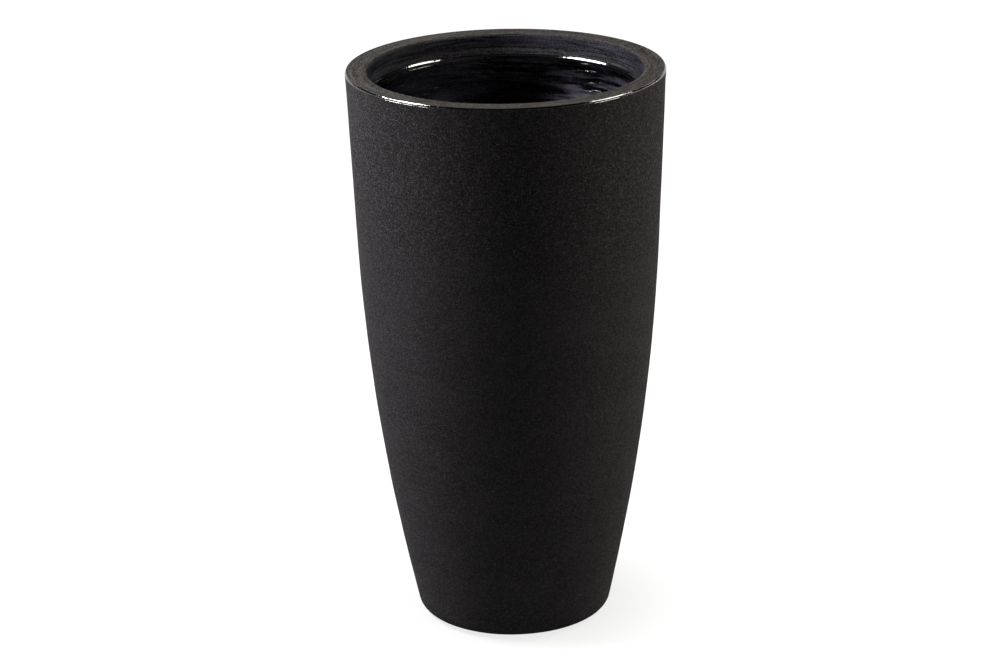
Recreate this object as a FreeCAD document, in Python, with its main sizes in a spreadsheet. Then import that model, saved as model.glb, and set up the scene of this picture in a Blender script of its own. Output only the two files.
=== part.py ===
# Tall round planter of hand-laid fiberglass, in millimetres.
# +Z is up, and the origin is the centre of the base on the floor that the pads stand on.

import FreeCAD
import Part
import Sketcher
import math
import os

os.makedirs("parts", exist_ok=True)

doc = FreeCAD.newDocument("planter")

# ---------------------------------------------------------------- driving sizes

SIZES = [
    # the whole planter
    ("overall_height", 600, "floor to the flat top of the rim"),
    ("mouth_radius", 165, "outside of the rim"),
    ("base_radius", 102.9, "where the wall's lower slope would meet the plane of the foot"),
    ("knee_height", 236, "height at which the wall's two slopes would meet"),
    ("knee_radius", 151.3, "radius at which the wall's two slopes would meet"),
    ("belly_blend", 188, "how much of each slope, from the knee, the belly's arc takes"),
    ("foot_round", 10, "rounding of the outer bottom corner"),
    ("wall", 5, "laminate of the shell"),
    ("flange_width", 36.8, "shell's turned-in foot, from the corner's rounding to its open middle"),
    # the rim
    ("edge_bead_width", 2.5, "resin bead in the outer top corner, across"),
    ("edge_bead_height", 2.5, "resin bead in the outer top corner, up and down"),
    ("edge_bead_round", 1.9, "how far that bead's two facets reach down and across"),
    ("bond_gap", 0.3, "resin-filled joint between curved faces of bonded pieces"),
    ("plate_thickness", 10, "rim ring's flat top plate"),
    ("rim_width", 23, "flat top of the rim, from the outside to the inner band"),
    ("band_lean", 1, "how much the inner band narrows on its way down"),
    ("band_depth", 16, "top of the rim to the ledge"),
    ("ledge_drop", 5.5, "fall of the sloped ledge"),
    ("ledge_width", 3.5, "sloped ledge, from the band's foot to the lip's inner face"),
    ("lip_height", 5.5, "upright inner face of the lip"),
    ("skirt_thickness", 4.5, "wall of the ring's inner band"),
    ("inner_round", 4, "rounding from the rim's top into the inner band"),
    ("ledge_round", 2.5, "hollow between the band and the ledge"),
    ("lip_round", 2, "rounding of the lip's top edge"),
    ("lip_under_round", 0.8, "rounding of the lip's bottom edge"),
    ("rim_bead_leg", 7, "resin fillet under the rim's plate"),
    # the floor of the planter
    ("disc_thickness", 5, "floor laminate"),
    ("disc_clearance", 1, "floor laminate to the shell's inner rounding"),
    ("base_bead_leg", 8, "resin fillet round the floor"),
    ("drain_radius", 12.5, "drain hole"),
    # the drain plug
    ("plug_clearance", 0.3, "plug's shank to the drain hole, all round"),
    ("plug_taper", 0.8, "how much the shank narrows towards its end"),
    ("plug_reach", 3, "shank below the floor laminate"),
    ("plug_flange_radius", 20, "plug's flange"),
    ("plug_flange_thickness", 3, "plug's flange"),
    ("plug_edge_round", 1.2, "rounding of the flange's top edge"),
    ("tab_width", 18, "pull tab, across"),
    ("tab_thickness", 4.5, "pull tab, through"),
    ("tab_height", 13, "pull tab above the flange"),
    ("tab_corner_round", 5, "rounding of the tab's top corners"),
    # the feet
    ("pad_height", 2.5, "rubber pad"),
    ("pad_radius", 10, "rubber pad"),
    ("pad_edge_round", 0.8, "rounding of the pad's bottom edge"),
]
PAD_COUNT = 4

sheet = doc.addObject("Spreadsheet::Sheet", "sizes")
for row, (alias, value, note) in enumerate(SIZES, 1):
    sheet.set(f"A{row}", alias)
    sheet.set(f"B{row}", str(value))
    sheet.set(f"C{row}", note)
    sheet.setAlias(f"B{row}", alias)
doc.recompute()

# Heights and radii that several pieces share, as expressions on the sheet.
TOP = "sizes.overall_height"
FOOT = "sizes.pad_height"
SHELL_TOP = f"({TOP} - sizes.edge_bead_height)"
PLATE_UNDERSIDE = f"({TOP} - sizes.plate_thickness)"
FLOOR_UNDERSIDE = f"({FOOT} + sizes.wall)"
FLOOR_TOP = f"({FLOOR_UNDERSIDE} + sizes.disc_thickness)"
LAP_RADIUS = "(sizes.mouth_radius - sizes.edge_bead_width)"
UPPER_SLOPE = f"((sizes.mouth_radius - sizes.knee_radius) / ({TOP} - sizes.knee_height))"
LOWER_SLOPE = f"((sizes.knee_radius - sizes.base_radius) / (sizes.knee_height - {FOOT}))"
CORNER_TURN = f"(90 deg - atan({LOWER_SLOPE}))"
FLAT_FOOT_RADIUS = f"(sizes.base_radius - sizes.foot_round * tan({CORNER_TURN} / 2))"


def upper_outside(height):
    """Outer radius of the wall's upper slope at a height."""
    return f"(sizes.mouth_radius - {UPPER_SLOPE} * ({TOP} - {height}))"


def upper_inside(height):
    """Inner radius of the wall's upper slope at a height."""
    return f"({upper_outside(height)} - sizes.wall * sqrt(1 + {UPPER_SLOPE} ^ 2))"


def lower_inside(height):
    """Inner radius of the wall's lower slope at a height."""
    outside = f"(sizes.base_radius + {LOWER_SLOPE} * ({height} - {FOOT}))"
    return f"({outside} - sizes.wall * sqrt(1 + {LOWER_SLOPE} ^ 2))"


# ---------------------------------------------------------------- shared steps


def new_body(label):
    """An empty body whose label is the piece's name."""
    body = doc.addObject("PartDesign::Body", label)
    body.Label = label
    return body


def plane(body, role):
    """One of a body's own origin planes."""
    for feature in body.Origin.OriginFeatures:
        if feature.Role == role:
            return feature
    raise RuntimeError("no plane " + role)


def new_sketch(body, name, role):
    """A sketch on an origin plane; on XZ_Plane, its x is a radius and its y a height."""
    sketch = body.newObject("Sketcher::SketchObject", name)
    sketch.AttachmentSupport = [(plane(body, role), "")]
    sketch.MapMode = "FlatFace"
    return sketch


def bind(sketch, constraint, name, expression):
    """Adds a dimension and ties it to the sheet."""
    index = sketch.addConstraint(constraint)
    sketch.renameConstraint(index, name)
    sketch.setExpression(f"Constraints.{name}", expression)
    return index


def draw_outline(sketch, corners):
    """A closed outline of straight lines whose corners lie at (name, radius, height) expressions."""
    points = []
    for name, radius, height in corners:
        x = float(sheet.evalExpression(radius))
        y = float(sheet.evalExpression(height))
        points.append(FreeCAD.Vector(x, y, 0))
    count = len(points)
    for k in range(count):
        sketch.addGeometry(Part.LineSegment(points[k], points[(k + 1) % count]), False)
    for k in range(count):
        sketch.addConstraint(Sketcher.Constraint("Coincident", k, 2, (k + 1) % count, 1))
    for k, (name, radius, height) in enumerate(corners):
        if radius == "0":
            sketch.addConstraint(Sketcher.Constraint("PointOnObject", k, 1, -2))
        else:
            across = Sketcher.Constraint("DistanceX", -1, 1, k, 1, points[k].x)
            bind(sketch, across, name + "_radius", radius)
        up = Sketcher.Constraint("DistanceY", -1, 1, k, 1, points[k].y)
        bind(sketch, up, name + "_height", height)


def round_corner(sketch, corners, name, radius):
    """Rounds a corner of a drawn outline with an arc of a bound radius."""
    start = [corner[0] for corner in corners].index(name)
    value = float(sheet.evalExpression(radius))
    arc = sketch.GeometryCount
    sketch.fillet((start - 1) % len(corners), 2, value, True, True)
    bind(sketch, Sketcher.Constraint("Radius", arc, value), name + "_round", radius)


def blend_corner(sketch, corners, name, reach):
    """Rounds a corner with the arc that starts and ends a bound distance from it."""
    start = [corner[0] for corner in corners].index(name)
    before = sketch.Geometry[(start - 1) % len(corners)]
    after = sketch.Geometry[start]
    turn = (before.EndPoint - before.StartPoint).getAngle(after.EndPoint - after.StartPoint)
    value = float(sheet.evalExpression(reach))
    arc = sketch.GeometryCount
    sketch.fillet((start - 1) % len(corners), 2, value / math.tan(turn / 2), True, True)
    point = arc + 1
    bind(sketch, Sketcher.Constraint("Distance", arc, 1, point, 1, value), name + "_blend", reach)


def revolve(body, sketch, name):
    """A full turn of a section about Z."""
    feature = body.newObject("PartDesign::Revolution", name)
    feature.Profile = sketch
    feature.ReferenceAxis = (sketch, ["V_Axis"])
    feature.Angle = 360
    sketch.Visibility = False
    doc.recompute()
    return feature


def ring_body(label, corners, rounds):
    """A body turned from one section, whose named corners have bound radii."""
    body = new_body(label)
    sketch = new_sketch(body, label + "_section", "XZ_Plane")
    draw_outline(sketch, corners)
    for name, radius in rounds:
        round_corner(sketch, corners, name, radius)
    revolve(body, sketch, label + "_turned")
    return body


def cut_through(body, sketch, name):
    """A pocket upwards through everything above its sketch; it has to take volume away."""
    before = body.Tip.Shape.Volume
    pocket = body.newObject("PartDesign::Pocket", name)
    pocket.Profile = sketch
    pocket.Type = "ThroughAll"
    pocket.Reversed = True
    sketch.Visibility = False
    doc.recompute()
    if pocket.Shape.Volume > before - 1:
        raise RuntimeError(name + " cuts nothing")
    return pocket


def circle_sketch(body, name, radius):
    """A circle about Z on the floor plane."""
    sketch = new_sketch(body, name, "XY_Plane")
    value = float(sheet.evalExpression(radius))
    middle = FreeCAD.Vector(0, 0, 0)
    upwards = FreeCAD.Vector(0, 0, 1)
    sketch.addGeometry(Part.Circle(middle, upwards, value), False)
    sketch.addConstraint(Sketcher.Constraint("Coincident", 0, 3, -1, 1))
    bind(sketch, Sketcher.Constraint("Radius", 0, value), "circle_radius", radius)
    return sketch


# ---------------------------------------------------------------- outer shell

# The laminate's outside: a flat foot, a small rounding, a steep slope, the long belly arc and a
# nearly upright slope to the mouth. The wall is taken inwards from it, and the foot is left open
# in the middle, as a flange that the floor laminate lies on.
shell = new_body("outer_shell")
shell_corners = [
    ("foot_middle", "0", FOOT),
    ("foot_corner", "sizes.base_radius", FOOT),
    ("knee", "sizes.knee_radius", "sizes.knee_height"),
    ("shell_edge", upper_outside(SHELL_TOP), SHELL_TOP),
    ("top_middle", "0", SHELL_TOP),
]
shell_sketch = new_sketch(shell, "outer_shell_section", "XZ_Plane")
draw_outline(shell_sketch, shell_corners)
round_corner(shell_sketch, shell_corners, "foot_corner", "sizes.foot_round")
blend_corner(shell_sketch, shell_corners, "knee", "sizes.belly_blend")
shell_form = revolve(shell, shell_sketch, "outer_shell_form")

top_faces = []
for k, face in enumerate(shell_form.Shape.Faces, 1):
    if isinstance(face.Surface, Part.Plane) and face.normalAt(0, 0).z > 0.999:
        top_faces.append(f"Face{k}")
hollow = shell.newObject("PartDesign::Thickness", "outer_shell_wall")
hollow.Base = (shell_form, top_faces)
hollow.Mode = "Skin"
hollow.Join = "Intersection"
hollow.Reversed = True
hollow.setExpression("Value", "sizes.wall")
doc.recompute()
if hollow.Shape.Volume > shell_form.Shape.Volume / 2:
    raise RuntimeError("the shell is not hollow")

FLANGE_OPENING = f"({FLAT_FOOT_RADIUS} - sizes.flange_width)"
foot_opening = circle_sketch(shell, "foot_opening_circle", FLANGE_OPENING)
cut_through(shell, foot_opening, "foot_opening")

# ---------------------------------------------------------------- rim ring

# One moulding: a lap that hooks over the shell's edge, a top plate nested in the mouth, a short
# upright band, a sloped ledge and a lip with an upright inner face.
LEDGE_TOP = f"({TOP} - sizes.band_depth)"
LIP_TOP = f"({LEDGE_TOP} - sizes.ledge_drop)"
LIP_BOTTOM = f"({LIP_TOP} - sizes.lip_height)"
NEST_TOP_RADIUS = f"({upper_inside(SHELL_TOP)} - sizes.bond_gap)"
NEST_BOTTOM_RADIUS = f"({upper_inside(PLATE_UNDERSIDE)} - sizes.bond_gap)"
BAND_TOP_RADIUS = "(sizes.mouth_radius - sizes.rim_width)"
BAND_FOOT_RADIUS = f"({BAND_TOP_RADIUS} - sizes.band_lean)"
LIP_RADIUS = f"({BAND_FOOT_RADIUS} - sizes.ledge_width)"
SKIRT_RADIUS = f"({BAND_TOP_RADIUS} + sizes.skirt_thickness)"

ring_body(
    "rim_ring",
    [
        ("lap_top", LAP_RADIUS, TOP),
        ("lap_bottom", LAP_RADIUS, SHELL_TOP),
        ("nest_top", NEST_TOP_RADIUS, SHELL_TOP),
        ("nest_bottom", NEST_BOTTOM_RADIUS, PLATE_UNDERSIDE),
        ("skirt_root", SKIRT_RADIUS, PLATE_UNDERSIDE),
        ("ledge_back", SKIRT_RADIUS, LEDGE_TOP),
        ("lip_back", f"{LIP_RADIUS} + sizes.skirt_thickness", LIP_BOTTOM),
        ("lip_bottom", LIP_RADIUS, LIP_BOTTOM),
        ("lip_top", LIP_RADIUS, LIP_TOP),
        ("ledge_top", BAND_FOOT_RADIUS, LEDGE_TOP),
        ("inner_top", BAND_TOP_RADIUS, TOP),
    ],
    [
        ("lip_bottom", "sizes.lip_under_round"),
        ("lip_top", "sizes.lip_round"),
        ("ledge_top", "sizes.ledge_round"),
        ("inner_top", "sizes.inner_round"),
    ],
)

# The resin that fills the step between the shell's edge and the ring's lap. Two facets along the
# tangents of a quarter round take its outer top corner away.
FACET_LOW = f"({TOP} - sizes.edge_bead_round)"
FACET_MIDDLE = "sizes.edge_bead_round * (1 - cos(45 deg))"
ring_body(
    "rim_edge_bead",
    [
        ("bead_inner_bottom", LAP_RADIUS, SHELL_TOP),
        ("bead_outer_bottom", upper_outside(SHELL_TOP), SHELL_TOP),
        ("bead_facet_low", upper_outside(FACET_LOW), FACET_LOW),
        ("bead_facet_middle", f"sizes.mouth_radius - {FACET_MIDDLE}", f"{TOP} - {FACET_MIDDLE}"),
        ("bead_facet_high", "sizes.mouth_radius - sizes.edge_bead_round", TOP),
        ("bead_inner_top", LAP_RADIUS, TOP),
    ],
    [],
)

# The resin fillet in the corner under the ring's plate.
RIM_BEAD_FOOT = f"({PLATE_UNDERSIDE} - sizes.rim_bead_leg)"
RIM_BEAD_RADIUS = f"({upper_inside(PLATE_UNDERSIDE)} - sizes.bond_gap)"
ring_body(
    "rim_bond_bead",
    [
        ("fillet_foot", f"{upper_inside(RIM_BEAD_FOOT)} - sizes.bond_gap", RIM_BEAD_FOOT),
        ("fillet_corner", RIM_BEAD_RADIUS, PLATE_UNDERSIDE),
        ("fillet_tip", f"{RIM_BEAD_RADIUS} - sizes.rim_bead_leg", PLATE_UNDERSIDE),
    ],
    [],
)

# ---------------------------------------------------------------- floor

# The floor laminate lies on the flange, inside the shell's rounded corner, with a drain hole.
DISC_RADIUS = f"({FLAT_FOOT_RADIUS} - sizes.disc_clearance)"
ring_body(
    "base_disc",
    [
        ("hole_bottom", "sizes.drain_radius", FLOOR_UNDERSIDE),
        ("disc_bottom", DISC_RADIUS, FLOOR_UNDERSIDE),
        ("disc_top", DISC_RADIUS, FLOOR_TOP),
        ("hole_top", "sizes.drain_radius", FLOOR_TOP),
    ],
    [],
)

# The resin fillet that seals the floor to the wall.
BASE_BEAD_TOP = f"({FLOOR_TOP} + sizes.base_bead_leg)"
ring_body(
    "base_bond_bead",
    [
        ("seal_tip", f"{DISC_RADIUS} - sizes.base_bead_leg", FLOOR_TOP),
        ("seal_corner", f"{lower_inside(FLOOR_TOP)} - sizes.bond_gap", FLOOR_TOP),
        ("seal_top", f"{lower_inside(BASE_BEAD_TOP)} - sizes.bond_gap", BASE_BEAD_TOP),
    ],
    [],
)

# ---------------------------------------------------------------- drain plug

# A rubber stopper: a tapered shank down through the hole, a flange that rests on the floor
# laminate, and a blade to pull it by.
plug = new_body("drain_plug")
plug_sketch = new_sketch(plug, "drain_plug_section", "XZ_Plane")
SHANK_RADIUS = "(sizes.drain_radius - sizes.plug_clearance)"
SHANK_END = f"({FLOOR_UNDERSIDE} - sizes.plug_reach)"
PLUG_TOP = f"({FLOOR_TOP} + sizes.plug_flange_thickness)"
plug_corners = [
    ("shank_middle", "0", SHANK_END),
    ("shank_end", f"{SHANK_RADIUS} - sizes.plug_taper", SHANK_END),
    ("shank_top", SHANK_RADIUS, FLOOR_TOP),
    ("flange_bottom", "sizes.plug_flange_radius", FLOOR_TOP),
    ("flange_top", "sizes.plug_flange_radius", PLUG_TOP),
    ("plug_middle", "0", PLUG_TOP),
]
draw_outline(plug_sketch, plug_corners)
round_corner(plug_sketch, plug_corners, "flange_top", "sizes.plug_edge_round")
revolve(plug, plug_sketch, "drain_plug_turned")

tab_sketch = new_sketch(plug, "drain_plug_tab_outline", "XZ_Plane")
TAB_TOP = f"({PLUG_TOP} + sizes.tab_height)"
tab_corners = [
    ("tab_left_foot", "-sizes.tab_width / 2", FLOOR_TOP),
    ("tab_right_foot", "sizes.tab_width / 2", FLOOR_TOP),
    ("tab_right_top", "sizes.tab_width / 2", TAB_TOP),
    ("tab_left_top", "-sizes.tab_width / 2", TAB_TOP),
]
draw_outline(tab_sketch, tab_corners)
round_corner(tab_sketch, tab_corners, "tab_right_top", "sizes.tab_corner_round")
round_corner(tab_sketch, tab_corners, "tab_left_top", "sizes.tab_corner_round")
tab = plug.newObject("PartDesign::Pad", "drain_plug_tab")
tab.Profile = tab_sketch
tab.Midplane = True
tab.setExpression("Length", "sizes.tab_thickness")
tab_sketch.Visibility = False
doc.recompute()

# ---------------------------------------------------------------- feet

# Rubber pads glued under the middle of the flange, evenly round it, so that the drain hole stays
# open.
PAD_CIRCLE_RADIUS = f"({FLAT_FOOT_RADIUS} - sizes.flange_width / 2)"
for number in range(1, PAD_COUNT + 1):
    label = f"foot_pad_{number}"
    pad_body = new_body(label)
    turn = 360 / PAD_COUNT * (number - 0.5)
    pad_sketch = circle_sketch(pad_body, label + "_circle", "sizes.pad_radius")
    pad = pad_body.newObject("PartDesign::Pad", label + "_disc")
    pad.Profile = pad_sketch
    pad.setExpression("Length", "sizes.pad_height")
    pad_sketch.Visibility = False
    doc.recompute()
    bottom_edges = []
    for k, edge in enumerate(pad.Shape.Edges, 1):
        if isinstance(edge.Curve, Part.Circle) and abs(edge.Curve.Center.z) < 1e-6:
            bottom_edges.append(f"Edge{k}")
    rounding = pad_body.newObject("PartDesign::Fillet", label + "_rounding")
    rounding.Base = (pad, bottom_edges)
    rounding.setExpression("Radius", "sizes.pad_edge_round")
    pad_body.setExpression("Placement.Base.x", f"{PAD_CIRCLE_RADIUS} * cos({turn} deg)")
    pad_body.setExpression("Placement.Base.y", f"{PAD_CIRCLE_RADIUS} * sin({turn} deg)")
    doc.recompute()

# ---------------------------------------------------------------- checks and files

doc.recompute()
for item in doc.Objects:
    if "Invalid" in item.State or "Error" in item.State:
        raise RuntimeError(item.Name + " failed: " + ", ".join(item.State))

bodies = [item for item in doc.Objects if item.TypeId == "PartDesign::Body"]
for body in bodies:
    if body.Shape.isNull() or not body.Shape.isValid() or len(body.Shape.Solids) != 1:
        raise RuntimeError(body.Label + " is not one valid solid")
for body in bodies:
    body.Shape.exportStep(f"parts/{body.Label}.step")
    box = body.Shape.BoundBox
    size = f"{box.XLength:.1f} x {box.YLength:.1f} x {box.ZLength:.1f}"
    print(f"{body.Label}: {size} mm, from z {box.ZMin:.2f}, {body.Shape.Volume / 1000:.1f} cm3")
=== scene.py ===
import math

import bpy
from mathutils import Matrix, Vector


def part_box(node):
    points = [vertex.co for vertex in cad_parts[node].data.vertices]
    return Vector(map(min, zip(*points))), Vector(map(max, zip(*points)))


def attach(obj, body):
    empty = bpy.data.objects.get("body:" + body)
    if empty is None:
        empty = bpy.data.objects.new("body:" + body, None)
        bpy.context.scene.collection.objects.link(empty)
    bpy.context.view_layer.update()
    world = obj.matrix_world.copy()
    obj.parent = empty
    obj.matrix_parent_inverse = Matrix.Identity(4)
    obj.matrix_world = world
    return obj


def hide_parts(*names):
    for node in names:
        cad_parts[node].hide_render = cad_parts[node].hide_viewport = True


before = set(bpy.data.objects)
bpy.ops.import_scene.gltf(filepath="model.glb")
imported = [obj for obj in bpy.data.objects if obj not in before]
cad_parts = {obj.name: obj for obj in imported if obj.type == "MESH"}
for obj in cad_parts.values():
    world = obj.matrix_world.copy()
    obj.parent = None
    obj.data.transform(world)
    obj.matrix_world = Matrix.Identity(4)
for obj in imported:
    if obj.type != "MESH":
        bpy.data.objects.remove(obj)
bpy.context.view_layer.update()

MM = 0.001

# ---------------------------------------------------------------- outer shell

# The body of the planter: one hand-laid fiberglass laminate, 5 mm thick, drawn off a mould.
# Outside it carries a sprayed, sand-textured black coat, and inside the bare, wavy laminating
# resin. Its foot turns in as a flange that the floor is laid on.
WALL = 5 * MM
FOOT_ROUND = 10 * MM
KNEE_RADIUS = 151.3 * MM
KNEE_HEIGHT = 236 * MM
BELLY_REACH = 188 * MM
BASE_RADIUS = 102.9 * MM
FLANGE_RADIUS = 57.96 * MM
MOUTH_RADIUS = 165 * MM
RIM_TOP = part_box("rim_ring")[1].z
SHELL_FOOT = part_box("outer_shell")[0].z
SHELL_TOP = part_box("outer_shell")[1].z
TURN_STEPS = 256
WALL_STEP = 4.5 * MM
ARC_TURN = 0.2
OUTSIDE_UNEVENNESS = 0.5 * MM
OUTSIDE_WAVE = 45 * MM
INSIDE_UNEVENNESS = 1.8 * MM
INSIDE_WAVE = 60 * MM
NEST_DEPTH = 25 * MM


def rounded(corners, step=1.0):
    """Points along an outline of (radius, height, rounding radius) corners, the round ones as arcs."""
    points = []
    for k, (x, z, rounding) in enumerate(corners):
        if not rounding:
            points.append((x, z))
            continue
        before, after = corners[k - 1], corners[(k + 1) % len(corners)]
        enter = math.atan2(z - before[1], x - before[0])
        leave = math.atan2(after[1] - z, after[0] - x)
        turn = (leave - enter + math.pi) % math.tau - math.pi
        reach = abs(rounding * math.tan(turn / 2))
        side = math.copysign(1, turn)
        start = (x - reach * math.cos(enter), z - reach * math.sin(enter))
        centre_x = start[0] - side * rounding * math.sin(enter)
        centre_z = start[1] + side * rounding * math.cos(enter)
        count = max(3, math.ceil(abs(turn) / ARC_TURN), math.ceil(rounding * abs(turn) / step))
        for n in range(count + 1):
            angle = enter - side * math.pi / 2 + turn * n / count
            points.append((centre_x + rounding * math.cos(angle), centre_z + rounding * math.sin(angle)))
    return points


def spaced(points, step):
    """The same closed outline, with its long straight runs divided into steps."""
    out = []
    for (x0, z0), (x1, z1) in zip(points, points[1:] + points[:1]):
        count = max(1, round(math.dist((x0, z0), (x1, z1)) / step))
        out += [(x0 + (x1 - x0) * n / count, z0 + (z1 - z0) * n / count) for n in range(count)]
    return out


def turned(name, outline, steps=TURN_STEPS):
    """A closed outline, drawn by extruding one vertex, and spun a full turn about Z."""
    bpy.ops.object.select_all(action="DESELECT")
    x, z = outline[0]
    bpy.ops.mesh.primitive_plane_add(size=WALL, location=(x, 0, z))
    piece = bpy.context.object
    piece.name = piece.data.name = name
    bpy.ops.object.mode_set(mode="EDIT")
    bpy.ops.mesh.merge(type="CENTER")
    for next_x, next_z in outline[1:] + outline[:1]:
        bpy.ops.mesh.extrude_region_move(TRANSFORM_OT_translate={"value": (next_x - x, 0, next_z - z)})
        x, z = next_x, next_z
    bpy.ops.mesh.select_all(action="SELECT")
    bpy.ops.mesh.remove_doubles(threshold=1e-7)
    bpy.ops.mesh.spin(steps=steps, angle=math.tau, center=(0, 0, 0), axis=(0, 0, 1))
    bpy.ops.mesh.select_all(action="SELECT")
    bpy.ops.mesh.remove_doubles(threshold=1e-6)
    bpy.ops.mesh.normals_make_consistent(inside=False)
    bpy.ops.object.mode_set(mode="OBJECT")
    bpy.ops.object.transform_apply(location=True, rotation=True, scale=True)
    return piece


def roughen(piece, depth, size, where):
    """Sinks the surface unevenly, by up to depth, with dents about size across, where it is asked for."""
    texture = bpy.data.textures.new(piece.name + "_unevenness", "CLOUDS")
    texture.noise_scale = size
    texture.noise_depth = 1
    modifier = piece.modifiers.new("unevenness", "DISPLACE")
    modifier.texture = texture
    modifier.texture_coords = "LOCAL"
    modifier.mid_level = 1
    modifier.strength = depth
    group = piece.vertex_groups.new(name="uneven")
    group.add([v.index for v in piece.data.vertices if where(v)], 1, "REPLACE")
    modifier.vertex_group = group.name
    select_only(piece)
    bpy.ops.object.modifier_apply(modifier=modifier.name)
    bpy.ops.object.vertex_group_remove(all=True)


def select_only(piece):
    bpy.ops.object.select_all(action="DESELECT")
    piece.select_set(True)
    bpy.context.view_layer.objects.active = piece


def smooth(piece, degrees=40):
    """Shades the piece smooth, but for the edges that turn by more than some degrees."""
    select_only(piece)
    bpy.ops.object.shade_smooth_by_angle(angle=math.radians(degrees))


def looks_inwards(place, normal):
    """True on the side of a turned piece that faces its axis."""
    return normal.x * place.x + normal.y * place.y < -0.2 * math.hypot(place.x, place.y)


class Field:
    """A number that changes over a surface. Sums, products and powers of it add Math nodes."""

    def __init__(self, finish, socket):
        self.finish = finish
        self.socket = socket

    def math(self, operation, first, second):
        return self.finish.add("ShaderNodeMath", {"operation": operation}, {0: first, 1: second})

    def __add__(self, other):
        return self.math("ADD", self, other)

    __radd__ = __add__

    def __sub__(self, other):
        return self.math("SUBTRACT", self, other)

    def __rsub__(self, other):
        return self.math("SUBTRACT", other, self)

    def __mul__(self, other):
        return self.math("MULTIPLY", self, other)

    __rmul__ = __mul__

    def __pow__(self, other):
        return self.math("POWER", self, other)


class Finish:
    """A procedural material on one shader, whose patterns read the object's own coordinates."""

    def __init__(self, name, **constants):
        self.material = bpy.data.materials.new(name)
        self.material.use_nodes = True
        self.tree = self.material.node_tree
        self.shader = self.tree.nodes["Principled BSDF"]
        for socket, value in constants.items():
            self.shader.inputs[socket.replace("_", " ")].default_value = value
        self.place = self.add("ShaderNodeTexCoord", {}, {}, "Object")
        flat = self.stretched((1, 1, 0))
        self.radius = self.add("ShaderNodeVectorMath", {"operation": "LENGTH"}, {0: flat}, 1)
        self.height = self.add("ShaderNodeSeparateXYZ", {}, {0: self.place}, 2)

    def add(self, kind, settings, inputs, output=0):
        """Adds a node: its settings first, then a value or a link for each of its sockets."""
        node = self.tree.nodes.new(kind)
        for name, value in settings.items():
            setattr(node, name, value)
        for name, value in inputs.items():
            if isinstance(value, Field):
                self.tree.links.new(value.socket, node.inputs[name])
            else:
                node.inputs[name].default_value = value
        return Field(self, node.outputs[output])

    def stretched(self, scale):
        """The surface's place, stretched along the axes, so that a pattern on it is squeezed."""
        return self.add("ShaderNodeVectorMath", {"operation": "MULTIPLY"}, {0: self.place, 1: scale})

    def noise(self, size, detail=2, stretch=(1, 1, 1)):
        """Soft noise with blotches about size across, drawn out or squeezed along the axes."""
        inputs = {"Vector": self.stretched(stretch), "Scale": 1 / size, "Detail": detail}
        return self.add("ShaderNodeTexNoise", {}, inputs)

    def grains(self, size):
        """Packed grains about size across: the way to a grain's middle, and each grain's own shade."""
        inputs = {"Vector": self.place, "Scale": 1 / size}
        away = self.add("ShaderNodeTexVoronoi", {}, inputs, "Distance")
        shade = self.add("ShaderNodeTexVoronoi", {}, inputs, "Color")
        return away, shade

    def rings(self, size, length):
        """Streaks that run round the axis, a given size across and a given length along."""
        across = self.add("ShaderNodeCombineXYZ", {}, {2: self.radius * (length / size)})
        flat = self.stretched((1, 1, length / size))
        vector = self.add("ShaderNodeVectorMath", {"operation": "ADD"}, {0: flat, 1: across})
        return self.add("ShaderNodeTexNoise", {}, {"Vector": vector, "Scale": 1 / length, "Detail": 3})

    def step(self, field, low, high):
        """0 below low, 1 above high, and a smooth step between them."""
        inputs = {"Value": field, "From Min": low, "From Max": high}
        return self.add("ShaderNodeMapRange", {"interpolation_type": "SMOOTHSTEP"}, inputs)

    def mixed(self, amount, first, second):
        """A colour between two others."""
        return self.add("ShaderNodeMix", {"data_type": "RGBA"}, {0: amount, 6: first, 7: second}, 2)

    def bump(self, height, depth, below=None):
        """Small relief of some depth, over a coarser one if there is one."""
        inputs = {"Height": height, "Distance": depth}
        if below:
            inputs["Normal"] = below
        return self.add("ShaderNodeBump", {}, inputs)

    def set(self, **fields):
        """Links fields to the shader's sockets."""
        for socket, field in fields.items():
            self.tree.links.new(field.socket, self.shader.inputs[socket.replace("_", " ")])


def between(before, corner, after):
    """The corner of the line that lies one wall's thickness inside an outline's corner."""
    first = math.atan2(corner[1] - before[1], corner[0] - before[0]) + math.pi / 2
    second = math.atan2(after[1] - corner[1], after[0] - corner[0]) + math.pi / 2
    share = WALL / (1 + math.cos(first - second))
    return (
        corner[0] + share * (math.cos(first) + math.cos(second)),
        corner[1] + share * (math.sin(first) + math.sin(second)),
    )


UPPER_SLOPE = (MOUTH_RADIUS - KNEE_RADIUS) / (RIM_TOP - KNEE_HEIGHT)
foot = (BASE_RADIUS, SHELL_FOOT)
knee = (KNEE_RADIUS, KNEE_HEIGHT)
edge = (MOUTH_RADIUS - UPPER_SLOPE * (RIM_TOP - SHELL_TOP), SHELL_TOP)
flange = (FLANGE_RADIUS, SHELL_FOOT)
knee_turn = math.atan2(KNEE_HEIGHT - SHELL_FOOT, KNEE_RADIUS - BASE_RADIUS) - math.atan2(1, UPPER_SLOPE)
BELLY_ROUND = BELLY_REACH / math.tan(abs(knee_turn) / 2)
inner_edge = (edge[0] - WALL * math.hypot(1, UPPER_SLOPE), SHELL_TOP)
outline = rounded(
    [
        (*flange, 0),
        (*foot, FOOT_ROUND),
        (*knee, BELLY_ROUND),
        (*edge, 0),
        (*inner_edge, 0),
        (*between(foot, knee, edge), BELLY_ROUND - WALL),
        (*between(flange, foot, knee), FOOT_ROUND - WALL),
        (FLANGE_RADIUS, SHELL_FOOT + WALL, 0),
    ],
    WALL_STEP,
)
shell = turned("outer_shell_body", spaced(outline, WALL_STEP))


def outer_skin(v):
    """True outside, up to the edge that the rim ring laps over."""
    return not looks_inwards(v.co, v.normal) and v.co.z < SHELL_TOP - WALL


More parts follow.
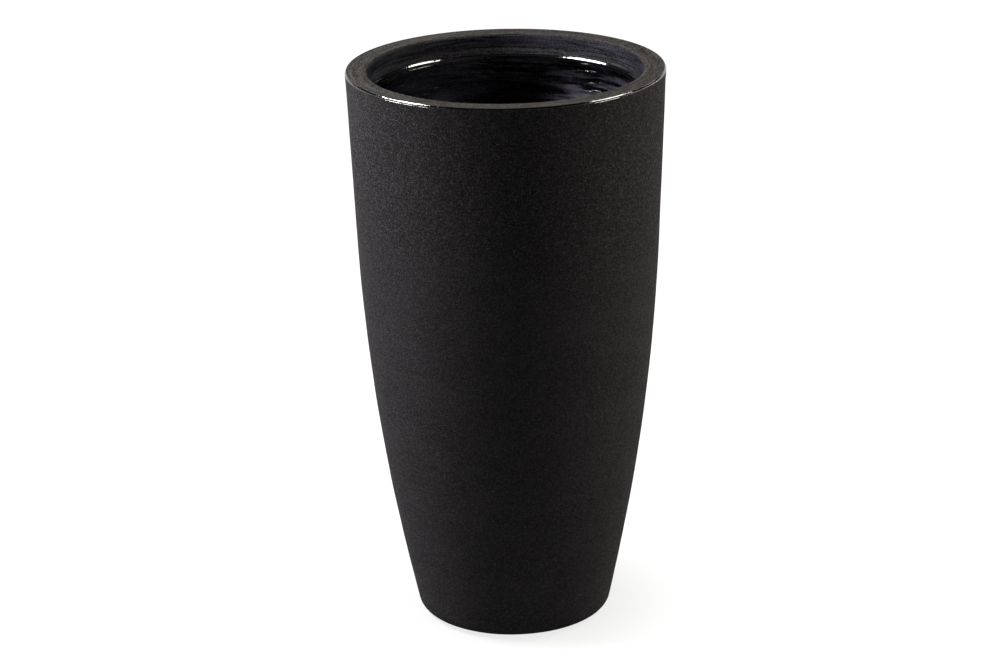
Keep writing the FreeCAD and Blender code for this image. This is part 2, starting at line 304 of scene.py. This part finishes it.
def inner_skin(v):
    """True inside, below the part that the rim ring nests in."""
    return looks_inwards(v.co, v.normal) and v.co.z < SHELL_TOP - NEST_DEPTH


roughen(shell, OUTSIDE_UNEVENNESS, OUTSIDE_WAVE, outer_skin)
roughen(shell, INSIDE_UNEVENNESS, INSIDE_WAVE, inner_skin)
smooth(shell)

GRAIN = 1.15 * MM
COAT_HOLLOW = (0.027, 0.025, 0.0262, 1)
COAT_CREST = (0.039, 0.0362, 0.038, 1)
GRIT = (0.145, 0.134, 0.14, 1)
TOP_BAND_FOOT = 380 * MM
TOP_BAND_TOP = 520 * MM
coat = Finish("sand_coat", IOR=1.45, Specular_IOR_Level=0.01)
hollows, shade = coat.grains(GRAIN)
clumps = coat.noise(6 * MM, 2)
clouding = coat.noise(60 * MM, 3, (1, 1, 1.5))
streaks = coat.noise(90 * MM, 3, (1, 1, 12))
nicks = coat.step(coat.noise(7 * MM, 1), 0.72, 0.78)
# Towards the top the coat is painted darker, a painted shade for the lamps' light falling off there, and its
# grit is coarser.
coarse_grit_and_top_shade = coat.step(coat.height, TOP_BAND_FOOT, TOP_BAND_TOP)
grit = shade ** 2 * 0.55 * (1 - coarse_grit_and_top_shade) + shade ** 3 * 0.9 * coarse_grit_and_top_shade
tone = clouding * 0.6 + streaks * 0.2 + clumps * 0.2 - coarse_grit_and_top_shade * 0.35 - nicks * 0.3
base = coat.mixed(coat.step(tone, 0.3, 0.7), COAT_HOLLOW, COAT_CREST)
waves = coat.bump(streaks * 0.5 + clouding, MM)
coat.set(
    Base_Color=coat.mixed(grit, base, GRIT),
    Roughness=0.62 + clumps * 0.16 - grit * 0.12,
    Normal=coat.bump(clumps * 0.5 - hollows - nicks, 0.5 * MM, waves),
)

RESIN_DEEP = (0.004, 0.004, 0.005, 1)
RESIN_SHEEN = (0.26, 0.24, 0.31, 1)
SHEEN_SIDE_FROM = 40 * MM
SHEEN_SIDE_TO = 90 * MM
resin = Finish("laminating_resin", IOR=1.5)
# The pale purple streaks mixed into the resin's colour are painted sheen, a painted reflection of the lamps,
# strongest on the right side; the same runs also wave the surface.
runs_and_sheen = resin.noise(40 * MM, 3, (0.7, 0.7, 5))
fibre = resin.noise(3 * MM, 3)
across = resin.add("ShaderNodeSeparateXYZ", {}, {0: resin.place}, 0)
sheen_side = resin.step(across, SHEEN_SIDE_FROM, SHEEN_SIDE_TO)
sheen = resin.step(runs_and_sheen, 0.45, 0.7) * (0.2 + sheen_side * 0.8)
resin.set(
    Base_Color=resin.mixed(sheen, RESIN_DEEP, RESIN_SHEEN),
    Roughness=0.2 + resin.step(fibre, 0.45, 0.8) * 0.2,
    Normal=resin.bump(fibre, 0.12 * MM, resin.bump(runs_and_sheen, 4 * MM)),
)
shell.data.materials.append(coat.material)
shell.data.materials.append(resin.material)
for face in shell.data.polygons:
    face.material_index = int(looks_inwards(face.center, face.normal) or face.normal.z > 0.5)
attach(shell, "planter")
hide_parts("outer_shell")

# ---------------------------------------------------------------- floor of the planter

# A round of the same laminate, glass mat under black resin, laid on the flange from inside and
# drilled for drainage.
DISC_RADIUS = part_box("base_disc")[1].x
FLOOR_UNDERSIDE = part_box("base_disc")[0].z
FLOOR_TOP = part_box("base_disc")[1].z
DRAIN_RADIUS = 12.5 * MM
SOFT_EDGE = 0.6 * MM
FLOOR_UNEVENNESS = 0.4 * MM
FLOOR_WAVE = 25 * MM
PLUG_SEAT = DRAIN_RADIUS + 12 * MM
floor_piece = turned(
    "base_disc_laminate",
    spaced(
        rounded(
            [
                (DRAIN_RADIUS, FLOOR_UNDERSIDE, SOFT_EDGE),
                (DISC_RADIUS, FLOOR_UNDERSIDE, 0),
                (DISC_RADIUS, FLOOR_TOP, 0),
                (DRAIN_RADIUS, FLOOR_TOP, SOFT_EDGE),
            ]
        ),
        WALL_STEP,
    ),
)
roughen(floor_piece, FLOOR_UNEVENNESS, FLOOR_WAVE, lambda v: v.co.xy.length > PLUG_SEAT)
smooth(floor_piece)

STRAND_TURNS = (10, 55, 100, 145)
STRAND_WIDTH = 1.8 * MM
STRAND_STRETCH = 14
RESIN_OVER_MAT = (0.008, 0.008, 0.009, 1)
MAT_STRAND = (0.028, 0.028, 0.03, 1)
laminate = Finish("laid_mat_laminate", IOR=1.5)
strands = 0
for turn in STRAND_TURNS:
    lie = {"Vector": laminate.place, "Rotation": (0, 0, math.radians(turn)), "Scale": (STRAND_STRETCH, 1, 1)}
    turned_place = laminate.add("ShaderNodeMapping", {"vector_type": "TEXTURE"}, lie)
    pattern = {"Vector": turned_place, "Scale": 1 / STRAND_WIDTH, "Detail": 1}
    strands = strands + laminate.step(laminate.add("ShaderNodeTexNoise", {}, pattern), 0.55, 0.68)
laminate.set(
    Base_Color=laminate.mixed(strands * 0.35, RESIN_OVER_MAT, MAT_STRAND),
    Roughness=0.28 + strands * 0.125,
    Normal=laminate.bump(strands, 0.25 * MM),
)
floor_piece.data.materials.append(laminate.material)
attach(floor_piece, "planter")
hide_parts("base_disc")

# A fillet of thick black resin, laid by hand and drawn hollow, that seals the floor to the wall
# all round.
SEAL_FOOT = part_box("base_bond_bead")[0].z
SEAL_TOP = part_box("base_bond_bead")[1].z
SEAL_LEG = SEAL_TOP - SEAL_FOOT
LOWER_SLOPE = (KNEE_RADIUS - BASE_RADIUS) / (KNEE_HEIGHT - SHELL_FOOT)
BOND_GAP = 0.3 * MM
SEAL_HOLLOW = 1.2 * MM
CURVE_STEPS = 10


def lower_inside(height):
    """The shell's inner radius on its lower slope."""
    return BASE_RADIUS + LOWER_SLOPE * (height - SHELL_FOOT) - WALL * math.hypot(1, LOWER_SLOPE)


def bulged(start, end, height):
    """Points of a curve from start to end. It bulges to its right, and a height below 0 hollows it."""
    points = []
    length = math.dist(start, end)
    along = ((end[0] - start[0]) / length, (end[1] - start[1]) / length)
    for n in range(CURVE_STEPS + 1):
        share = n / CURVE_STEPS
        out = height * 4 * share * (1 - share)
        x = start[0] + along[0] * length * share + along[1] * out
        z = start[1] + along[1] * length * share - along[0] * out
        points.append((x, z))
    return points


seal_corner = (lower_inside(SEAL_FOOT) - BOND_GAP, SEAL_FOOT)
seal_top = (lower_inside(SEAL_TOP) - BOND_GAP, SEAL_TOP)
seal_tip = (DISC_RADIUS - SEAL_LEG, SEAL_FOOT)
seal = turned("base_bond_fillet", [seal_corner] + bulged(seal_top, seal_tip, -SEAL_HOLLOW))
smooth(seal, 50)

GLOSS_BLACK = (0.004, 0.004, 0.0045, 1)
gloss = Finish("wet_black_resin", Base_Color=GLOSS_BLACK, IOR=1.9)
ripple = gloss.noise(7 * MM, 2)
dust = gloss.noise(1.2 * MM, 2)
gloss.set(
    Roughness=0.08 + gloss.step(dust, 0.6, 0.75) * 0.25,
    Normal=gloss.bump(ripple, 0.35 * MM),
)
seal.data.materials.append(gloss.material)
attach(seal, "planter")
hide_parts("base_bond_bead")

# ---------------------------------------------------------------- rim ring

# A moulded ring bonded into the mouth: a flat top plate, sanded by hand with coarse paper, an
# inner band brushed round with resin, a sloped ledge and a rounded, glossy lip.
EDGE_BEAD = 1.7 * MM
PLATE = 10 * MM
LAP_RADIUS = MOUTH_RADIUS - EDGE_BEAD
BAND_TOP_RADIUS = 142 * MM
BAND_FOOT_RADIUS = 141 * MM
LIP_RADIUS = 137.5 * MM
SKIRT = 4.5 * MM
LEDGE_TOP = RIM_TOP - 16 * MM
ROLL_RADIUS = 138.9 * MM
ROLL_TOP = LEDGE_TOP - 5.3 * MM
VALLEY_RADIUS = 139.5 * MM
VALLEY = ROLL_TOP - 0.5 * MM
LIP_CHAMFER = 1.8 * MM
LIP_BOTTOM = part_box("rim_ring")[0].z
PLATE_UNDERSIDE = RIM_TOP - PLATE
LIP_ROUND = 0.8 * MM
ROLL_ROUND = 0.35 * MM
VALLEY_ROUND = 0.2 * MM
LEDGE_ROUND = 2.5 * MM
TOP_ROUND = 4 * MM
ARC_STEP = 0.5 * MM
LINE_STEP = 3 * MM
RIM_STEPS = 384
RIM_UNEVENNESS = 0.35 * MM
RIM_WAVE = 30 * MM
nest_top = inner_edge[0] - BOND_GAP
nest_bottom = nest_top - UPPER_SLOPE * (SHELL_TOP - PLATE_UNDERSIDE)
rim = turned(
    "rim_ring_moulding",
    spaced(
        rounded(
            [
                (LAP_RADIUS, RIM_TOP, 0),
                (LAP_RADIUS, SHELL_TOP, 0),
                (nest_top, SHELL_TOP, 0),
                (nest_bottom, PLATE_UNDERSIDE, 0),
                (BAND_TOP_RADIUS + SKIRT, PLATE_UNDERSIDE, 0),
                (BAND_TOP_RADIUS + SKIRT, LEDGE_TOP, 0),
                (LIP_RADIUS + SKIRT, LIP_BOTTOM, 0),
                (LIP_RADIUS, LIP_BOTTOM, LIP_ROUND),
                (LIP_RADIUS, ROLL_TOP - LIP_CHAMFER, LIP_ROUND),
                (ROLL_RADIUS, ROLL_TOP, ROLL_ROUND),
                (VALLEY_RADIUS, VALLEY, VALLEY_ROUND),
                (BAND_FOOT_RADIUS, LEDGE_TOP, LEDGE_ROUND),
                (BAND_TOP_RADIUS, RIM_TOP, TOP_ROUND),
            ],
            ARC_STEP,
        ),
        LINE_STEP,
    ),
    RIM_STEPS,
)
roughen(rim, RIM_UNEVENNESS, RIM_WAVE, lambda v: v.co.xy.length < LAP_RADIUS - MM and v.normal.z > -0.3)
smooth(rim, 50)

SANDED_HOLLOW = (0.005, 0.0046, 0.0042, 1)
SANDED_CREST = (0.074, 0.066, 0.059, 1)
BRUSHED_HOLLOW = (0.002, 0.002, 0.003, 1)
BRUSHED_CREST = (0.05, 0.047, 0.06, 1)
sanded = Finish("sanded_resin", IOR=1.45, Specular_IOR_Level=0.12)
scratches = sanded.rings(1.3 * MM, 30 * MM)
coarse_scratches = sanded.rings(3 * MM, 60 * MM)
patches = sanded.noise(28 * MM, 3)
pores, pits = sanded.grains(1.2 * MM)
band = sanded.step(sanded.height, RIM_TOP - 1.6 * MM, RIM_TOP - 0.2 * MM)
dulled = sanded.step(scratches * 0.3 + coarse_scratches * 0.35 + pits * 0.35, 0.36, 0.66)
brushed = sanded.step(scratches * 0.4 + coarse_scratches * 0.4 + pits * 0.2, 0.38, 0.66)
ledge = 1 - sanded.step(sanded.height, LEDGE_TOP - MM, LEDGE_TOP + MM)
flat_tone = sanded.mixed(dulled, SANDED_HOLLOW, SANDED_CREST)
band_tone = sanded.mixed(brushed, BRUSHED_HOLLOW, BRUSHED_CREST)
brushed_tone = sanded.mixed(ledge * 0.35, band_tone, flat_tone)
sanded.set(
    Base_Color=sanded.mixed(band * (0.75 + patches * 0.5), brushed_tone, flat_tone),
    Roughness=0.42 + band * 0.2 + dulled * 0.12,
    Normal=sanded.bump(scratches + coarse_scratches - pores, 0.45 * MM, sanded.bump(patches, 1.5 * MM)),
)
rim.data.materials.append(sanded.material)
rim.data.materials.append(gloss.material)
for face in rim.data.polygons:
    face.material_index = int(face.center.z < ROLL_TOP + 0.3 * MM)
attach(rim, "planter")
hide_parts("rim_ring")

# The resin that bonds the ring into the mouth: a fillet under its plate, out of sight, and a
# glossy bead along the outer top edge, wiped by hand, so that its width wanders.
BEAD_LEG = 7 * MM
BEAD_HOLLOW = 1 * MM
bead_tip = (nest_bottom - BEAD_LEG, PLATE_UNDERSIDE)
bead_foot = (nest_bottom - UPPER_SLOPE * BEAD_LEG, PLATE_UNDERSIDE - BEAD_LEG)
bond = turned(
    "rim_bond_fillet",
    [(nest_bottom, PLATE_UNDERSIDE)] + bulged(bead_tip, bead_foot, -BEAD_HOLLOW),
)
smooth(bond, 50)
bond.data.materials.append(gloss.material)
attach(bond, "planter")
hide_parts("rim_bond_bead")

BEAD_FLAT = 0.15 * MM
BEAD_BULGE = 0.4 * MM
BEAD_STEPS = 512
BEAD_UNEVENNESS = 0.5 * MM
BEAD_WAVE = 9 * MM
BEAD_ROOT = LAP_RADIUS + 0.2 * MM
edge_bead = turned(
    "rim_edge_resin",
    [(LAP_RADIUS, SHELL_TOP)]
    + bulged(edge, (LAP_RADIUS + BEAD_FLAT, RIM_TOP), BEAD_BULGE)
    + [(LAP_RADIUS, RIM_TOP)],
    BEAD_STEPS,
)
roughen(edge_bead, BEAD_UNEVENNESS, BEAD_WAVE, lambda v: v.co.xy.length > BEAD_ROOT and v.co.z > SHELL_TOP)
smooth(edge_bead, 60)
edge_bead.data.materials.append(gloss.material)
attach(edge_bead, "planter")
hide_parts("rim_edge_bead")

# ---------------------------------------------------------------- drain plug and feet

# A moulded rubber stopper, pushed into the drain hole from inside, with a ribbed tab to pull it
# out by.
FLANGE = 3 * MM
FLANGE_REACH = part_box("drain_plug")[1].x
FLANGE_TOP = FLOOR_TOP + FLANGE
SHANK_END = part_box("drain_plug")[0].z
SHANK_RADIUS = DRAIN_RADIUS - 0.3 * MM
SHANK_TIP = SHANK_RADIUS - 0.8 * MM
TAB_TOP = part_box("drain_plug")[1].z
TAB_WIDTH = 18 * MM
TAB_THICKNESS = 4.5 * MM
GROOVE = 0.7 * MM
EDGE_WIDTH = 3 * MM
PLUG_ARC_STEP = 0.4 * MM
PLUG_STEPS = 96
plug = turned(
    "drain_plug_rubber",
    rounded(
        [
            (0, SHANK_END + GROOVE, 0),
            (SHANK_TIP - 4 * MM, SHANK_END + GROOVE, 0),
            (SHANK_TIP - 4.5 * MM, SHANK_END, 0.3 * MM),
            (SHANK_TIP, SHANK_END, 1.2 * MM),
            (SHANK_RADIUS - 0.4 * MM, FLOOR_UNDERSIDE, 0.3 * MM),
            (SHANK_RADIUS - GROOVE - 0.4 * MM, FLOOR_UNDERSIDE + GROOVE, 0.3 * MM),
            (SHANK_RADIUS - 0.2 * MM, FLOOR_UNDERSIDE + 2 * GROOVE, 0.3 * MM),
            (SHANK_RADIUS, FLOOR_TOP, 0.3 * MM),
            (FLANGE_REACH, FLOOR_TOP, 0.4 * MM),
            (FLANGE_REACH, FLANGE_TOP, 1.2 * MM),
            (FLANGE_REACH - EDGE_WIDTH, FLANGE_TOP, 0.5 * MM),
            (FLANGE_REACH - EDGE_WIDTH - GROOVE, FLANGE_TOP - GROOVE, 0.5 * MM),
            (0, FLANGE_TOP - GROOVE, 0),
        ],
        PLUG_ARC_STEP,
    ),
    PLUG_STEPS,
)


def soft_block(width, thickness, bottom, top, softness):
    """A block with rounded edges, upright over the middle of the drain hole."""
    bpy.ops.object.select_all(action="DESELECT")
    bpy.ops.mesh.primitive_cube_add(size=1, location=(0, 0, (bottom + top) / 2))
    block = bpy.context.object
    block.scale = (width, thickness, top - bottom)
    bpy.ops.object.transform_apply(location=True, rotation=True, scale=True)
    edges = block.modifiers.new("soft_edges", "BEVEL")
    edges.width = softness
    edges.segments = 4
    bpy.ops.object.modifier_apply(modifier=edges.name)
    return block


def join_to(piece, block):
    """Makes the block one solid with the piece."""
    union = piece.modifiers.new("union", "BOOLEAN")
    union.object = block
    union.operation = "UNION"
    select_only(piece)
    bpy.ops.object.modifier_apply(modifier=union.name)
    bpy.data.objects.remove(block)


RIB = 0.4 * MM
RIB_HEIGHTS = (5 * MM, 7.5 * MM, 10 * MM)
RIB_HALF = 0.7 * MM
RIB_ROUND = 0.38 * MM
ROOT_SPREAD = 2 * MM
SUNK = FLANGE_TOP - 2.5 * MM
blade = soft_block(TAB_WIDTH, TAB_THICKNESS - 2 * RIB, SUNK, TAB_TOP, 1.2 * MM)
join_to(plug, blade)
root = soft_block(TAB_WIDTH + ROOT_SPREAD, TAB_THICKNESS + ROOT_SPREAD, SUNK, FLANGE_TOP + MM, 0.9 * MM)
join_to(plug, root)
for height in RIB_HEIGHTS:
    low = FLANGE_TOP + height - RIB_HALF
    high = FLANGE_TOP + height + RIB_HALF
    join_to(plug, soft_block(TAB_WIDTH - 4 * MM, TAB_THICKNESS, low, high, RIB_ROUND))
smooth(plug, 35)

RUBBER_BLACK = (0.014, 0.014, 0.014, 1)
RUBBER_BLOOM = (0.026, 0.026, 0.025, 1)
rubber = Finish("moulded_rubber", IOR=1.45, Specular_IOR_Level=0.3)
bloom = rubber.noise(6 * MM, 3)
specks = rubber.noise(0.8 * MM, 2)
rubber.set(
    Base_Color=rubber.mixed(rubber.step(bloom, 0.35, 0.7), RUBBER_BLACK, RUBBER_BLOOM),
    Roughness=0.6 + bloom * 0.25,
    Normal=rubber.bump(specks, 0.15 * MM),
)
plug.data.materials.append(rubber.material)
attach(plug, "plug")
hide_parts("drain_plug")

# The pads are four like mouldings in the same rubber, dimpled underneath and glued on a circle
# under the shell's flange. They keep the drain hole off the floor.
PAD_RADIUS = 10 * MM
PAD_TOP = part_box("foot_pad_1")[1].z
DIMPLE = 0.6 * MM
DIMPLE_RADIUS = PAD_RADIUS * 0.35
PAD_ARC_STEP = 0.3 * MM
PAD_STEPS = 64
first_pad = turned(
    "foot_pad_pattern",
    rounded(
        [
            (0, DIMPLE, 0),
            (DIMPLE_RADIUS, DIMPLE, 0.4 * MM),
            (DIMPLE_RADIUS + DIMPLE, 0, 0.3 * MM),
            (PAD_RADIUS, 0, 0.8 * MM),
            (PAD_RADIUS, PAD_TOP, 0.2 * MM),
            (0, PAD_TOP, 0),
        ],
        PAD_ARC_STEP,
    ),
    PAD_STEPS,
)
smooth(first_pad, 35)
first_pad.data.materials.append(rubber.material)
for number in range(1, 5):
    node = f"foot_pad_{number}"
    low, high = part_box(node)
    select_only(first_pad)
    bpy.ops.object.duplicate()
    pad = bpy.context.object
    pad.name = pad.data.name = f"foot_pad_rubber_{number}"
    pad.location = ((low.x + high.x) / 2, (low.y + high.y) / 2, 0)
    bpy.ops.object.transform_apply(location=True, rotation=False, scale=False)
    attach(pad, "planter")
    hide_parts(node)
bpy.data.objects.remove(first_pad)

# ---------------------------------------------------------------- studio

# A white floor that runs out of sight, under soft lights on the left and on the right, in a room
# that is white to the eye and dark overhead.
FLOOR_GREY = (0.2, 0.2, 0.2, 1)
SHOWN_GREY = (0.15, 0.15, 0.15, 1)
SHADOW_RING_INNER = 0.1
SHADOW_RING_OUTER = 0.2
GLOW_IN_SHADOW_RING = 0.8
AMBIENT = 0.03
DARK_ABOVE = 0.3
WHITE_BELOW = 0.05
bpy.ops.object.select_all(action="DESELECT")
bpy.ops.mesh.primitive_plane_add(size=40)
ground = bpy.context.object
ground.name = "floor"
ground_material = bpy.data.materials.new("white_floor")
ground_material.use_nodes = True
tree = ground_material.node_tree
tree.nodes.clear()


def wire(kind, **inputs):
    """Adds a node to the open tree, with a value or a link for each socket; i0 is its first one."""
    node = tree.nodes.new(kind)
    for name, value in inputs.items():
        socket = node.inputs[int(name[1:])] if name[0] == "i" and name[1:].isdigit() else node.inputs[name]
        if isinstance(value, bpy.types.NodeSocket):
            tree.links.new(value, socket)
        else:
            socket.default_value = value
    return node


def seen_directly():
    """1 for what the camera, a reflection or glass sees, and 0 for light on its way to a surface."""
    path = wire("ShaderNodeLightPath")
    total = path.outputs["Is Camera Ray"]
    for name in ("Is Glossy Ray", "Is Transmission Ray"):
        total = wire("ShaderNodeMath", i0=total, i1=path.outputs[name]).outputs[0]
    return total


lit = wire("ShaderNodeBsdfDiffuse", Color=FLOOR_GREY).outputs[0]
away = wire("ShaderNodeVectorMath", i0=wire("ShaderNodeTexCoord").outputs["Object"])
away.operation = "LENGTH"
# Close round the planter's foot the floor's emission is dimmed: a painted shadow round the base.
emission_with_painted_shadow = wire("ShaderNodeMapRange", Value=away.outputs["Value"])
emission_with_painted_shadow.inputs["From Min"].default_value = SHADOW_RING_INNER
emission_with_painted_shadow.inputs["From Max"].default_value = SHADOW_RING_OUTER
emission_with_painted_shadow.inputs["To Min"].default_value = GLOW_IN_SHADOW_RING
shown = wire(
    "ShaderNodeAddShader",
    i0=wire("ShaderNodeBsdfDiffuse", Color=SHOWN_GREY).outputs[0],
    i1=wire("ShaderNodeEmission", Color=(1, 1, 1, 1), Strength=emission_with_painted_shadow.outputs[0]).outputs[0],
).outputs[0]
mix = wire("ShaderNodeMixShader", i0=seen_directly(), i1=lit, i2=shown)
wire("ShaderNodeOutputMaterial", Surface=mix.outputs[0])
ground.data.materials.append(ground_material)

world = bpy.data.worlds.new("white_room")
bpy.context.scene.world = world
world.use_nodes = True
tree = world.node_tree
tree.nodes.clear()
ambient = wire("ShaderNodeBackground", Color=(1, 1, 1, 1), Strength=AMBIENT).outputs[0]
upwards = wire("ShaderNodeSeparateXYZ", i0=wire("ShaderNodeTexCoord").outputs["Generated"]).outputs[2]
open_side = wire("ShaderNodeMapRange", Value=upwards).outputs[0]
open_side.node.inputs["From Min"].default_value = DARK_ABOVE
open_side.node.inputs["From Max"].default_value = WHITE_BELOW
direct = wire("ShaderNodeLightPath").outputs["Is Camera Ray"]
strength = wire("ShaderNodeMath", i0=direct, i1=open_side)
strength.operation = "MAXIMUM"
white = wire("ShaderNodeBackground", Color=(1, 1, 1, 1), Strength=strength.outputs[0]).outputs[0]
mix = wire("ShaderNodeMixShader", i0=seen_directly(), i1=ambient, i2=white)
wire("ShaderNodeOutputWorld", Surface=mix.outputs[0])


def aim(lamp, target):
    """Turns a lamp to look at a point."""
    x, y, z = (there - here for there, here in zip(target, lamp.location))
    lamp.rotation_euler = (math.atan2(math.hypot(x, y), -z), 0, math.atan2(-x, y))


def soft_light(name, place, size, power, colour):
    """An area light that looks at the middle of the planter's body."""
    bpy.ops.object.light_add(type="AREA", location=place)
    lamp = bpy.context.object
    lamp.name = name
    lamp.data.shape = "RECTANGLE"
    lamp.data.size, lamp.data.size_y = size
    lamp.data.energy = power
    lamp.data.color = colour
    aim(lamp, (0, 0, 0.4))


soft_light("left_light", (-1.4, 0.1, 1.95), (1.0, 0.6), 78, (0.98, 0.98, 1))
soft_light("right_light", (1.4, 0.12, 1.85), (0.8, 0.55), 21, (1, 0.97, 0.87))
soft_light("low_light", (1.7, 0.3, 0.3), (1.8, 0.8), 9.5, (1, 0.97, 0.9))

# A narrow beam passes over the left of the rim, to the resin that the lip shades.
bpy.ops.object.light_add(type="SPOT", location=(-1.4, -0.4, 1.2))
beam = bpy.context.object
beam.name = "mouth_light"
beam.data.energy = 150
beam.data.color = (0.93, 0.9, 1)
beam.data.spot_size = math.radians(3.4)
beam.data.spot_blend = 0.6
beam.data.shadow_soft_size = 0.12
aim(beam, (0.105, 0.105, 0.525))

# ---------------------------------------------------------------- camera

# A long lens on a tripod nearly three metres off. It looks down on the planter and is tilted a
# little clockwise.
CAMERA_PLACE = (-10.52 * MM, -2793.28 * MM, 1317.78 * MM)
LOOKS_DOWN = math.radians(19.683)
TILT = math.radians(1.081)
SENSOR = 36
LENS = 100.8
bpy.ops.object.camera_add(location=CAMERA_PLACE)
camera = bpy.context.object
camera.rotation_mode = "ZYX"
camera.rotation_euler = (math.pi / 2 - LOOKS_DOWN, 0, -TILT)
camera.data.sensor_width = SENSOR
camera.data.lens = LENS
camera.data.clip_end = 100
bpy.context.scene.camera = camera
bpy.context.scene.view_settings.view_transform = "Standard"
